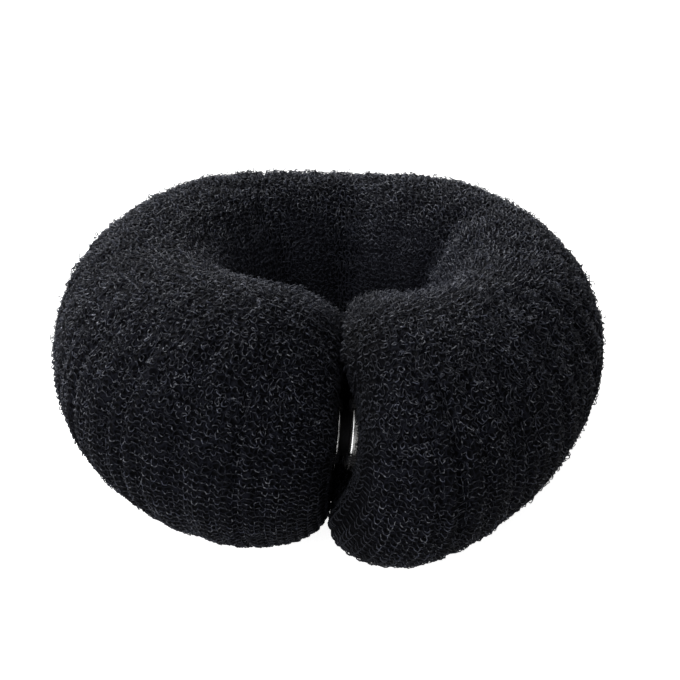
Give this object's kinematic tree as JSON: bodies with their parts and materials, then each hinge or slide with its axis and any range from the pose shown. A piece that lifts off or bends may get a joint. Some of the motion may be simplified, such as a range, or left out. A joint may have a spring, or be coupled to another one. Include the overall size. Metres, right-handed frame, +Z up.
{
  "type": "hair donut bun maker",
  "caption": "Padded knit roll bent into a ring and closed at the front by a sewn press stud, worn in the hair to fill out a bun.",
  "frame": {"origin": "on the surface that it rests on, under the middle of the ring's box", "axes": "+Z up, -Y towards the cleft and the press stud, +X towards the right end of the roll"},
  "size_m": [0.0994, 0.093, 0.0509],
  "materials": {
    "knit": "black open knit mesh over a wound pad, matt with fine shiny strands",
    "stud_metal": "bright nickel plate on pressed brass"
  },
  "bodies": {
    "root": {"knit_roll": "knit", "snap_stud": "stud_metal", "snap_socket": "stud_metal"}
  },
  "joints": []
}
